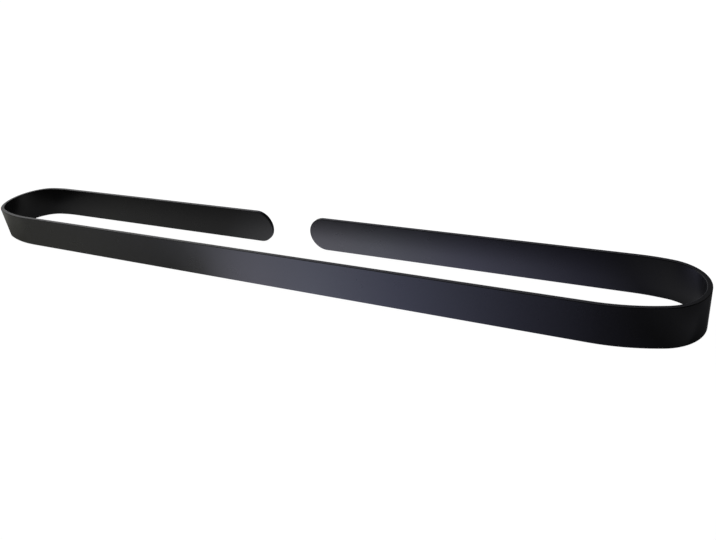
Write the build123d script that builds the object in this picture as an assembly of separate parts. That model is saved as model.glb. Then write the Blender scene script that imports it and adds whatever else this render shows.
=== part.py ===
from build123d import *
import math
import os

# Adhesive towel rail: one flat steel strip bent into a long loop that is open at the back,
# with a foam adhesive pad on the wall side of each rear arm.
# Millimetres. X runs along the rail, Y points to the wall and Z is up.
# The origin is the middle of the footprint, at the strip's lower edge.

# Strip
rail_length = 600.0  # overall, from the outside of one end bend to the outside of the other
rail_depth = 64.0  # from the front face of the front run to the wall face of the arms
strip_height = 26.5
strip_thickness = 3.0
edge_radius = 0.4  # rounding along the strip's long edges and round its tips
arm_gap = 36.5  # between the half-round tips of the two rear arms

# End bends: each is a tight bend between two wide easing arcs, the longer one next to the front run
easing_radius = 114.0  # at the middle of the strip's thickness
front_easing_angle = 20.0  # degrees that the arc next to the front run turns
arm_easing_angle = 10.0  # degrees that the arc next to the arm turns

# Adhesive pads
pad_thickness = 1.0
pad_margin = 1.5  # from the pad's outline to the outline of the arm
pad_bend_clearance = 12.0  # from the pad's square end to the start of the end bend
pad_corner_radius = 2.0  # at the pad's square end

# Places in plan, with the strip and the pads centred on the origin
front_face_y = -(rail_depth + pad_thickness) / 2
front_run_y = front_face_y + strip_thickness / 2
wall_face_y = front_face_y + rail_depth
arm_y = wall_face_y - strip_thickness / 2
tip_radius = strip_height / 2
tip_centre_x = arm_gap / 2 + tip_radius
middle_z = strip_height / 2

# The bend radius is what closes the half turn between the front run and the arms
turned_in = math.cos(math.radians(front_easing_angle)) + math.cos(math.radians(arm_easing_angle))
bend_radius = (arm_y - front_run_y - easing_radius * (2 - turned_in)) / turned_in


def bend_start_x(easing_angle):
    """Where a straight ends and its easing arc begins."""
    turn = math.sin(math.radians(easing_angle))
    return (rail_length - strip_thickness) / 2 - easing_radius * turn - bend_radius * (1 - turn)


front_end_x = bend_start_x(front_easing_angle)
arm_end_x = bend_start_x(arm_easing_angle)


def end_bend(straight, first_angle, last_angle):
    """The half turn that carries on from a straight, as three tangent arcs."""
    ease_in = JernArc(straight @ 1, straight % 1, easing_radius, first_angle)
    bend = JernArc(ease_in @ 1, ease_in % 1, bend_radius, 180 - first_angle - last_angle)
    ease_out = JernArc(bend @ 1, bend % 1, easing_radius, last_angle)
    return [ease_in, bend, ease_out]


def strip_path():
    """Middle line of the strip, from the left arm round the front run to the right arm."""
    left_arm = Line((-tip_centre_x, arm_y, middle_z), (-arm_end_x, arm_y, middle_z))
    left_bend = end_bend(left_arm, arm_easing_angle, front_easing_angle)
    front_run = Line(left_bend[-1] @ 1, (front_end_x, front_run_y, middle_z))
    right_bend = end_bend(front_run, front_easing_angle, arm_easing_angle)
    right_arm = Line(right_bend[-1] @ 1, (tip_centre_x, arm_y, middle_z))
    return Wire([left_arm, *left_bend, front_run, *right_bend, right_arm])


def make_rail():
    """The bent strip: its section swept along the path, and turned round at both tips."""
    path = strip_path()
    start = Plane(origin=path @ 0, x_dir=(0, 1, 0), z_dir=path % 0)
    section = start * RectangleRounded(strip_thickness, strip_height, edge_radius)
    strip = sweep(section, path=path)
    upper_half = split(section, bisect_by=Plane.XY.offset(middle_z), keep=Keep.TOP)
    left_tip = revolve(upper_half, axis=Axis(path @ 0, (0, 1, 0)), revolution_arc=180)
    return strip + left_tip + mirror(left_tip, about=Plane.YZ)


def make_right_pad():
    """Die-cut pad on the right arm: half-round at the tip, square towards the bend."""
    pad_height = strip_height - 2 * pad_margin
    pad_end_x = arm_end_x - pad_bend_clearance
    wall_face = Plane(origin=(tip_centre_x, wall_face_y, middle_z), x_dir=(1, 0, 0), z_dir=(0, -1, 0))
    body = Rectangle(pad_end_x - tip_centre_x, pad_height, align=(Align.MIN, Align.CENTER))
    body = fillet(body.vertices().group_by(Axis.X)[-1], pad_corner_radius)
    outline = body + Circle(pad_height / 2)
    return extrude(wall_face * outline, amount=-pad_thickness)


right_pad = make_right_pad()
nodes = {
    "rail": make_rail(),
    "adhesive_pad_left": mirror(right_pad, about=Plane.YZ),
    "adhesive_pad_right": right_pad,
}

os.makedirs("parts", exist_ok=True)
for name, shape in nodes.items():
    export_step(shape, f"parts/{name}.step")
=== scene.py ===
import math

import bpy
from mathutils import Matrix, Vector


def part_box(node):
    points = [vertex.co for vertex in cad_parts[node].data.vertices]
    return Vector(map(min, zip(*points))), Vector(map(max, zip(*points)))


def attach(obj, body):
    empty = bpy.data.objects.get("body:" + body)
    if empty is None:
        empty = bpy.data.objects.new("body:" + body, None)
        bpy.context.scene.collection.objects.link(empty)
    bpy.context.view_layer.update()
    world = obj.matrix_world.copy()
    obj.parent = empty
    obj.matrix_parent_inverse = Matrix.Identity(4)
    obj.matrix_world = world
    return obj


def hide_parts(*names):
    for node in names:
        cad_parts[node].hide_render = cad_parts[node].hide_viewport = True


# Camera fitted to the rail's outline in the photograph: metres, degrees, and millimetres of lens and sensor
CAMERA_PLACE = (0.30169, -0.36306, 0.23821)
CAMERA_YAW = 31.991
CAMERA_PITCH = 28.632
CAMERA_ROLL = -8.016
CAMERA_LENS = 34.227
CAMERA_SENSOR = 36.0
CAMERA_CLIP = 0.01

# Bent strip, with the CAD part's sizes: metres and degrees
STRIP_THICKNESS = 0.003
EDGE_RADIUS = 0.0004
ARM_GAP = 0.0365
EASING_RADIUS = 0.114
FRONT_EASING = 20.0
ARM_EASING = 10.0
ARC_STEP = 2.0  # between the mesh's stations on a bend
EDGE_STEPS = 6  # round each long edge
TIP_STEPS = 72  # round each tip
PLACE_DIGITS = 8  # points that agree to this many decimals are one vertex

# Black powder coat: a fine orange peel, and a slow drift of tone and gloss
PEEL_SCALE = 900.0
PEEL_DETAIL = 2.0
PEEL_DEPTH = 0.000004
DRIFT_SCALE = 60.0
DRIFT_DETAIL = 3.0
DRIFT_LOW, DRIFT_HIGH = 0.3, 0.7
COATING_TONES = [
    (DRIFT_LOW, (0.017, 0.017, 0.0173, 1.0)),
    (DRIFT_HIGH, (0.021, 0.021, 0.0215, 1.0)),
]
COATING_ROUGHNESS = (0.27, 0.33)
COATING_IOR = 1.5

# Foam tape with fine closed cells
CELL_SCALE = 2500.0
CELL_DEPTH = 0.00003
FOAM_TONES = [
    (0.0, (0.08, 0.08, 0.084, 1.0)),
    (0.8, (0.12, 0.12, 0.126, 1.0)),
]
FOAM_ROUGHNESS = 0.75

# Floor and its own light
WHITE = (1.0, 1.0, 1.0, 1.0)
BLACK = (0.0, 0.0, 0.0, 1.0)
FLOOR_SIZE = 12.0
FLOOR_TONE = (0.1, 0.1, 0.1, 1.0)
FLOOR_GLOW = 0.985
FLOOR_LIGHT_SIZE = 8.0
FLOOR_LIGHT_POWER = 250.0
FLOOR_LIGHT_HEIGHT = 4.0

# Light card, and the front run's shadow on it
CARD_LIFT = 0.0001  # above the floor
CARD_SLANT = 0.44  # inside the loop, its grading moves this far along for each metre towards the wall
SHADOW_START, SHADOW_END = 0.0125, 0.0455  # behind the front of the rail
SHADOW_DEPTH, SHADOW_END_DEPTH = 0.95, -0.12  # and a depth below nothing is a brighter card

# Grading of the light card in front of the rail: place along the front face, and glow
FRONT_STOPS = [
    (-0.365, (0.31, 0.31, 0.285, 1.0)),
    (-0.315, (0.19, 0.19, 0.17, 1.0)),
    (-0.275, (0.26, 0.26, 0.235, 1.0)),
    (-0.165, (0.315, 0.315, 0.3, 1.0)),
    (-0.072, (0.29, 0.29, 0.29, 1.0)),
    (-0.043, (0.51, 0.51, 0.53, 1.0)),
    (-0.025, (0.95, 0.95, 1.08, 1.0)),
    (-0.008, (1.22, 1.22, 1.46, 1.0)),
    (0.01, (1.38, 1.38, 1.69, 1.0)),
    (0.058, (1.34, 1.4, 1.82, 1.0)),
    (0.122, (0.84, 0.88, 1.29, 1.0)),
    (0.199, (0.345, 0.355, 0.53, 1.0)),
    (0.248, (0.13, 0.13, 0.18, 1.0)),
    (0.282, (0.06, 0.06, 0.065, 1.0)),
    (0.311, (0.14, 0.14, 0.155, 1.0)),
    (0.36, (0.03, 0.03, 0.03, 1.0)),
]

# Grading inside the loop, where the last value is the share of the front run's shadow
LOOP_STOPS = [
    (-0.32, (0.14, 0.14, 0.145, 0.3)),
    (-0.25, (0.27, 0.27, 0.265, 0.35)),
    (-0.1, (0.27, 0.27, 0.27, 0.4)),
    (-0.05, (0.64, 0.64, 0.67, 0.7)),
    (-0.01, (1.46, 1.44, 1.68, 1.0)),
    (0.05, (1.36, 1.4, 1.68, 1.0)),
    (0.12, (0.88, 0.89, 1.26, 0.9)),
    (0.2, (0.33, 0.33, 0.49, 0.75)),
    (0.236, (0.15, 0.15, 0.19, 0.45)),
    (0.252, (0.3, 0.3, 0.325, 0.05)),
    (0.266, (0.19, 0.19, 0.195, 0.0)),
    (0.281, (0.18, 0.18, 0.185, 0.0)),
    (0.288, (0.03, 0.03, 0.032, 0.0)),
    (0.315, (0.09, 0.09, 0.1, 0.0)),
    (0.37, (0.03, 0.03, 0.03, 0.0)),
]

# Painted shade on the card's glow near the bends: where it is felt, then by distance: from, to, change at
# each
LEFT_PAINTED_SHADE_STOPS = [(-0.262, WHITE), (-0.244, BLACK)]  # along the front face
# Left bend: painted contact shade of the strip, darker close to it, and painted light, brighter farther out
LEFT_PAINTED_SHADE = (0.005, 0.048, -0.38, 0.33)  # by the gap to the strip
RIGHT_PAINTED_SHADE_STOPS = [(0.232, BLACK), (0.245, WHITE), (0.264, WHITE), (0.278, BLACK)]  # inside the loop
# Right bend: painted shade, darker towards the wall
RIGHT_PAINTED_SHADE = (0.049, 0.058, 0.0, -0.36)  # by the distance behind the front

# Room light by the X part of a direction, and its share by the Y and Z parts: from, to, share at each
ROOM_STOPS = [
    (-0.83, (0.6, 0.6, 0.6, 1.0)),
    (-0.78, (0.82, 0.82, 0.82, 1.0)),
    (-0.62, (0.76, 0.76, 0.76, 1.0)),
    (-0.54, (0.48, 0.48, 0.55, 1.0)),
    (-0.12, (0.31, 0.31, 0.355, 1.0)),
    (0.0, (0.06, 0.06, 0.06, 1.0)),
]
ROOM_BACK = (-0.2, 0.3, 0.06, 1.0)
ROOM_OVERHEAD = (0.6, 0.85, 1.0, 0.1)

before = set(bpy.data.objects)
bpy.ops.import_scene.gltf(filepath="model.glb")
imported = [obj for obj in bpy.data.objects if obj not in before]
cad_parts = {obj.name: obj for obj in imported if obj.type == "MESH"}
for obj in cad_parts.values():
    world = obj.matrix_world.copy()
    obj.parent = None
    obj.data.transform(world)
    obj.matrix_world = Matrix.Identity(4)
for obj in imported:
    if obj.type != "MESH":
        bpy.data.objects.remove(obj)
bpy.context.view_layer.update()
pads = [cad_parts["adhesive_pad_left"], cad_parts["adhesive_pad_right"]]
rail_low, rail_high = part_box("rail")

# Middle of the strip: the bend radius is what closes the half turn between the front run and the arms
front_y = rail_low[1] + STRIP_THICKNESS / 2
arm_y = rail_high[1] - STRIP_THICKNESS / 2
turned_in = math.cos(math.radians(FRONT_EASING)) + math.cos(math.radians(ARM_EASING))
bend_radius = (arm_y - front_y - EASING_RADIUS * (2 - turned_in)) / turned_in


def set_socket(tree, socket, value):
    """Links another node's output to an input socket, or sets the socket to a plain value."""
    if isinstance(value, bpy.types.NodeSocket):
        tree.links.new(value, socket)
    else:
        socket.default_value = value


def add_node(tree, kind, **inputs):
    """A new shader node, with its input sockets set by name: an underscore stands for a space."""
    node = tree.nodes.new(kind)
    for name, value in inputs.items():
        set_socket(tree, node.inputs[name.replace("_", " ")], value)
    return node


def math_node(tree, operation, *values):
    """The result of a math node."""
    node = tree.nodes.new("ShaderNodeMath")
    node.operation = operation
    for socket, value in zip(node.inputs, values):
        set_socket(tree, socket, value)
    return node.outputs[0]


def map_range(tree, value, start, end, low=0.0, high=1.0, interpolation="LINEAR"):
    """Maps start..end to low..high, and keeps the end values beyond."""
    node = add_node(
        tree,
        "ShaderNodeMapRange",
        Value=value,
        From_Min=start,
        From_Max=end,
        To_Min=low,
        To_Max=high,
    )
    node.interpolation_type = interpolation
    return node.outputs["Result"]


def ramp(tree, factor, stops):
    """A colour ramp through (place, colour) stops, with places from 0 to 1."""
    node = add_node(tree, "ShaderNodeValToRGB", Fac=factor)
    elements = node.color_ramp.elements
    while len(elements) < len(stops):
        elements.new(0.5)
    for element, (place, colour) in zip(elements, stops):
        element.position = place
        element.color = colour
    return node


def graded(tree, place, stops):
    """A colour ramp whose stops may lie anywhere, in the units of the place."""
    first, last = stops[0][0], stops[-1][0]
    along = map_range(tree, place, first, last)
    return ramp(tree, along, [((stop - first) / (last - first), colour) for stop, colour in stops])


def mix_shaders(tree, factor, first, second=None):
    """The first shader where the factor is 0, and the second, or nothing, where it is 1."""
    node = add_node(tree, "ShaderNodeMixShader", Fac=factor)
    tree.links.new(first, node.inputs[1])
    if second is not None:
        tree.links.new(second, node.inputs[2])
    return node.outputs[0]


def new_material(name):
    """An empty node material, its node tree and its output node."""
    material = bpy.data.materials.new(name)
    material.use_nodes = True
    material.node_tree.nodes.clear()
    output = material.node_tree.nodes.new("ShaderNodeOutputMaterial")
    return material, material.node_tree, output


def satin_black():
    """Black powder coat: deep black, satin, with a fine orange-peel surface."""
    material, tree, output = new_material("satin_black_coating")
    place = tree.nodes.new("ShaderNodeTexCoord").outputs["Object"]
    peel = add_node(tree, "ShaderNodeTexNoise", Vector=place, Scale=PEEL_SCALE, Detail=PEEL_DETAIL)
    drift = add_node(tree, "ShaderNodeTexNoise", Vector=place, Scale=DRIFT_SCALE, Detail=DRIFT_DETAIL)
    tone = ramp(tree, drift.outputs["Fac"], COATING_TONES)
    gloss = map_range(
        tree, drift.outputs["Fac"], DRIFT_LOW, DRIFT_HIGH, *COATING_ROUGHNESS, interpolation="SMOOTHSTEP"
    )
    bump = add_node(tree, "ShaderNodeBump", Strength=1.0, Distance=PEEL_DEPTH, Height=peel.outputs["Fac"])
    shader = add_node(
        tree,
        "ShaderNodeBsdfPrincipled",
        Base_Color=tone.outputs["Color"],
        Roughness=gloss,
        IOR=COATING_IOR,
        Normal=bump.outputs["Normal"],
    )
    tree.links.new(shader.outputs[0], output.inputs["Surface"])
    return material


def foam_adhesive():
    """Dark foam tape: matt cut foam with fine closed cells."""
    material, tree, output = new_material("foam_adhesive")
    place = tree.nodes.new("ShaderNodeTexCoord").outputs["Object"]
    cells = add_node(tree, "ShaderNodeTexVoronoi", Vector=place, Scale=CELL_SCALE).outputs["Distance"]
    tone = ramp(tree, cells, FOAM_TONES)
    bump = add_node(tree, "ShaderNodeBump", Strength=1.0, Distance=CELL_DEPTH, Height=cells)
    shader = add_node(
        tree,
        "ShaderNodeBsdfPrincipled",
        Base_Color=tone.outputs["Color"],
        Roughness=FOAM_ROUGHNESS,
        Normal=bump.outputs["Normal"],
    )
    tree.links.new(shader.outputs[0], output.inputs["Surface"])
    return material


def bend_start_x(easing):
    """Where a straight of the strip ends and its easing arc begins."""
    turn = math.sin(math.radians(easing))
    return rail_high[0] - STRIP_THICKNESS / 2 - EASING_RADIUS * turn - bend_radius * (1 - turn)


def follow_arc(stations, radius, angle):
    """Adds the stations of an arc that turns left from the last one."""
    x, y, heading = stations[-1]
    steps = math.ceil(angle / ARC_STEP)
    for i in range(1, steps + 1):
        turned = heading + math.radians(angle) * i / steps
        along_x = radius * (math.sin(turned) - math.sin(heading))
        along_y = radius * (math.cos(heading) - math.cos(turned))
        stations.append((x + along_x, y + along_y, turned))


def follow_end_bend(stations, first_easing, last_easing):
    """Adds the three arcs of an end bend: an easing arc, the tight bend and the other easing arc."""
    follow_arc(stations, EASING_RADIUS, first_easing)
    follow_arc(stations, bend_radius, 180 - first_easing - last_easing)
    follow_arc(stations, EASING_RADIUS, last_easing)


def strip_stations():
    """Places and headings along the middle of the strip, from the left tip round to the right tip."""
    tip_x = (ARM_GAP + rail_high[2]) / 2
    stations = [(-tip_x, arm_y, math.pi), (-bend_start_x(ARM_EASING), arm_y, math.pi)]
    follow_end_bend(stations, ARM_EASING, FRONT_EASING)
    stations.append((bend_start_x(FRONT_EASING), front_y, 2 * math.pi))
    follow_end_bend(stations, FRONT_EASING, ARM_EASING)
    stations.append((tip_x, arm_y, 3 * math.pi))
    return stations


def strip_turns():
    """Stations with the lean of the half section there, once round the whole strip.

    It goes along the upper edge, round a tip, back along the lower edge and round the other tip.
    """
    stations = strip_stations()
    turns = [(station, 0.0) for station in stations]
    turns += [(stations[-1], math.pi * i / TIP_STEPS) for i in range(1, TIP_STEPS)]
    turns += [(station, math.pi) for station in reversed(stations)]
    turns += [(stations[0], math.pi * (1 + i / TIP_STEPS)) for i in range(1, TIP_STEPS)]
    return turns


def half_section():
    """Half of the strip's section, from its inner face over one edge to the outer: places and normals."""
    across = STRIP_THICKNESS / 2 - EDGE_RADIUS
    out = rail_high[2] / 2 - EDGE_RADIUS
    points = [((STRIP_THICKNESS / 2, 0.0), (1.0, 0.0))]
    for side, start in ((1, 0), (-1, 90)):
        for i in range(EDGE_STEPS + 1):
            angle = math.radians(start + 90 * i / EDGE_STEPS)
            normal = (math.cos(angle), math.sin(angle))
            place = (side * across + EDGE_RADIUS * normal[0], out + EDGE_RADIUS * normal[1])
            points.append((place, normal))
    points.append(((-STRIP_THICKNESS / 2, 0.0), (-1.0, 0.0)))
    return points


def strip_mesh():
    """Vertices, their normals, and faces of the strip, as a closed loop of half sections."""
    section = half_section()
    places, normals, rows = {}, [], []
    for (x, y, heading), lean in strip_turns():
        inward = Vector((-math.sin(heading), math.cos(heading), 0.0))
        ahead = Vector((math.cos(heading), math.sin(heading), 0.0))
        edgeward = math.sin(lean) * ahead + math.cos(lean) * Vector((0.0, 0.0, 1.0))
        middle = Vector((x, y, rail_high[2] / 2))
        row = []
        for (across, out), (normal_across, normal_out) in section:
            place = (middle + across * inward + out * edgeward).to_tuple(PLACE_DIGITS)
            if place not in places:
                places[place] = len(places)
                normals.append(normal_across * inward + normal_out * edgeward)
            row.append(places[place])
        rows.append(row)
    faces = []
    for row, following in zip(rows, rows[1:] + rows[:1]):
        for corners in zip(row, row[1:], following[1:], following):
            if len(set(corners)) > 2:
                faces.append(tuple(dict.fromkeys(corners)))
    return list(places), normals, faces


def add_rail():
    """The bent strip in place of the CAD rail, with the normals of its true section and no creases."""
    vertices, normals, faces = strip_mesh()
    mesh = bpy.data.meshes.new("bent_strip")
    mesh.from_pydata(vertices, [], faces)
    mesh.shade_smooth()
    mesh.normals_split_custom_set_from_vertices(normals)
    piece = bpy.data.objects.new("bent_strip", mesh)
    bpy.context.scene.collection.objects.link(piece)
    mesh.materials.append(satin_black())
    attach(piece, "root")
    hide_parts("rail")


def level_sheet(name, near_y, far_y, height):
    """A level sheet on the stage, as wide as the floor."""
    half = FLOOR_SIZE / 2
    mesh = bpy.data.meshes.new(name)
    corners = [
        (-half, near_y, height),
        (half, near_y, height),
        (half, far_y, height),
        (-half, far_y, height),
    ]
    mesh.from_pydata(corners, [], [(0, 1, 2, 3)])
    sheet = bpy.data.objects.new(name, mesh)
    bpy.context.scene.collection.objects.link(sheet)
    return sheet


def add_floor():
    """Plain white floor: mostly an even glow, so that only a faint shadow shows on it."""
    floor = level_sheet("floor", -FLOOR_SIZE / 2, FLOOR_SIZE / 2, 0.0)
    material, tree, output = new_material("floor_white")
    shader = add_node(
        tree,
        "ShaderNodeBsdfPrincipled",
        Base_Color=FLOOR_TONE,
        Roughness=1.0,
        Specular_IOR_Level=0.0,
        Emission_Color=WHITE,
        Emission_Strength=FLOOR_GLOW,
    )
    tree.links.new(shader.outputs[0], output.inputs["Surface"])
    floor.data.materials.append(material)
    floor.visible_diffuse = False
    floor.visible_glossy = False
    return floor


def add_floor_light(floor):
    """A large soft light overhead that falls on the floor alone."""
    only_floor = bpy.data.collections.new("only_floor")
    only_floor.objects.link(floor)
    data = bpy.data.lights.new("floor_light", "AREA")
    data.shape = "SQUARE"
    data.size = FLOOR_LIGHT_SIZE
    data.energy = FLOOR_LIGHT_POWER
    light = bpy.data.objects.new("floor_light", data)
    light.location = (0.0, 0.0, FLOOR_LIGHT_HEIGHT)
    light.visible_glossy = False
    bpy.context.scene.collection.objects.link(light)
    light.light_linking.receiver_collection = only_floor


def glow_with_painted_shade(tree, glow, place, stops, distance, change):
    """A glow changed by a distance where the stops are white: painted shade, and painted light where the
    change is above nothing.
    """
    felt = graded(tree, place, stops).outputs["Color"]
    return math_node(tree, "MULTIPLY_ADD", felt, map_range(tree, distance, *change), glow)


def gap_to_strip(tree, x, from_front):
    """How far in front of the front run and its easing arcs, taken as parabolas, a place lies."""
    past_run = math_node(tree, "SUBTRACT", math_node(tree, "ABSOLUTE", x), bend_start_x(FRONT_EASING))
    past_run = math_node(tree, "MAXIMUM", past_run, 0.0)
    squared = math_node(tree, "MULTIPLY", past_run, past_run)
    strip_depth = math_node(tree, "MULTIPLY_ADD", squared, 0.5 / EASING_RADIUS, STRIP_THICKNESS / 2)
    return math_node(tree, "SUBTRACT", strip_depth, from_front)


def front_glow(tree, x, from_front, gap):
    """The card's glow in front of the rail, with painted shade close to the strip near the left bend,
    brighter farther out.

    Its grading fans out from below the camera's place, so that it stands upright in the front face.
    """
    camera_x, camera_from_front = CAMERA_PLACE[0], CAMERA_PLACE[1] - rail_low[1]
    spread = math_node(tree, "MULTIPLY_ADD", from_front, 1 / camera_from_front, 1.0)
    beside = math_node(tree, "DIVIDE", math_node(tree, "SUBTRACT", x, camera_x), spread)
    fanned = math_node(tree, "ADD", beside, camera_x)
    colour = graded(tree, fanned, FRONT_STOPS).outputs["Color"]
    # painted shade close to the strip near the left bend, and painted light farther out
    light = glow_with_painted_shade(tree, 1.0, fanned, LEFT_PAINTED_SHADE_STOPS, gap, LEFT_PAINTED_SHADE)
    return add_node(tree, "ShaderNodeEmission", Color=colour, Strength=light).outputs[0]


def loop_glow(tree, x, from_front):
    """The card's glow inside the loop: slanted, with the front run's painted shadow and painted shade near
    the right bend.
    """
    slanted = math_node(tree, "MULTIPLY_ADD", from_front, -CARD_SLANT, x)
    grading = graded(tree, slanted, LOOP_STOPS)
    depth = map_range(tree, from_front, SHADOW_START, SHADOW_END, SHADOW_DEPTH, SHADOW_END_DEPTH)
    shade = math_node(tree, "MULTIPLY", depth, grading.outputs["Alpha"])
    light = math_node(tree, "SUBTRACT", 1.0, shade)
    # painted shade towards the wall near the right bend
    light = glow_with_painted_shade(tree, light, slanted, RIGHT_PAINTED_SHADE_STOPS, from_front, RIGHT_PAINTED_SHADE)
    return add_node(tree, "ShaderNodeEmission", Color=grading.outputs["Color"], Strength=light).outputs[0]


def add_light_card():
    """A graded light card on the floor up to the wall: it lights the rail, unseen by the camera."""
    card = level_sheet("light_card", -FLOOR_SIZE / 2, rail_high[1], CARD_LIFT)
    material, tree, output = new_material("light_card")
    place = tree.nodes.new("ShaderNodeTexCoord").outputs["Object"]
    axes = add_node(tree, "ShaderNodeSeparateXYZ", Vector=place)
    x = axes.outputs["X"]
    from_front = math_node(tree, "SUBTRACT", axes.outputs["Y"], rail_low[1])
    gap = gap_to_strip(tree, x, from_front)
    front = front_glow(tree, x, from_front, gap)
    loop = loop_glow(tree, x, from_front)
    glow = mix_shaders(tree, math_node(tree, "LESS_THAN", gap, 0.0), front, loop)
    underside = tree.nodes.new("ShaderNodeNewGeometry").outputs["Backfacing"]
    tree.links.new(mix_shaders(tree, underside, glow), output.inputs["Surface"])
    card.data.materials.append(material)
    card.visible_camera = False
    card.visible_shadow = False
    card.visible_transmission = False


def add_world():
    """Soft room light from behind the rail, stronger at the left, with a plain white backdrop."""
    world = bpy.data.worlds.new("studio")
    world.use_nodes = True
    tree = world.node_tree
    tree.nodes.clear()
    output = tree.nodes.new("ShaderNodeOutputWorld")
    direction = tree.nodes.new("ShaderNodeTexCoord").outputs["Generated"]
    axes = add_node(tree, "ShaderNodeSeparateXYZ", Vector=direction)
    side = graded(tree, axes.outputs["X"], ROOM_STOPS).outputs["Color"]
    back = map_range(tree, axes.outputs["Y"], *ROOM_BACK, interpolation="SMOOTHSTEP")
    overhead = map_range(tree, axes.outputs["Z"], *ROOM_OVERHEAD, interpolation="SMOOTHSTEP")
    strength = math_node(tree, "MULTIPLY", back, overhead)
    room = add_node(tree, "ShaderNodeBackground", Color=side, Strength=strength).outputs[0]
    backdrop = add_node(tree, "ShaderNodeBackground", Color=WHITE, Strength=1.0).outputs[0]
    seen = tree.nodes.new("ShaderNodeLightPath").outputs["Is Camera Ray"]
    tree.links.new(mix_shaders(tree, seen, room, backdrop), output.inputs["Surface"])
    bpy.context.scene.world = world


def add_camera():
    """The photograph's viewpoint."""
    data = bpy.data.cameras.new("camera")
    data.sensor_width = CAMERA_SENSOR
    data.lens = CAMERA_LENS
    data.clip_start = CAMERA_CLIP
    camera = bpy.data.objects.new("camera", data)
    turn = Matrix.Rotation(math.radians(CAMERA_YAW), 4, "Z")
    tilt = Matrix.Rotation(math.radians(90 - CAMERA_PITCH), 4, "X")
    roll = Matrix.Rotation(math.radians(CAMERA_ROLL), 4, "Z")
    camera.matrix_world = Matrix.Translation(CAMERA_PLACE) @ turn @ tilt @ roll
    bpy.context.scene.collection.objects.link(camera)
    bpy.context.scene.camera = camera


add_rail()
foam = foam_adhesive()
for pad in pads:
    pad.material_slots[0].material = foam

add_floor_light(add_floor())
add_light_card()
add_world()
add_camera()
bpy.context.scene.view_settings.view_transform = "Standard"
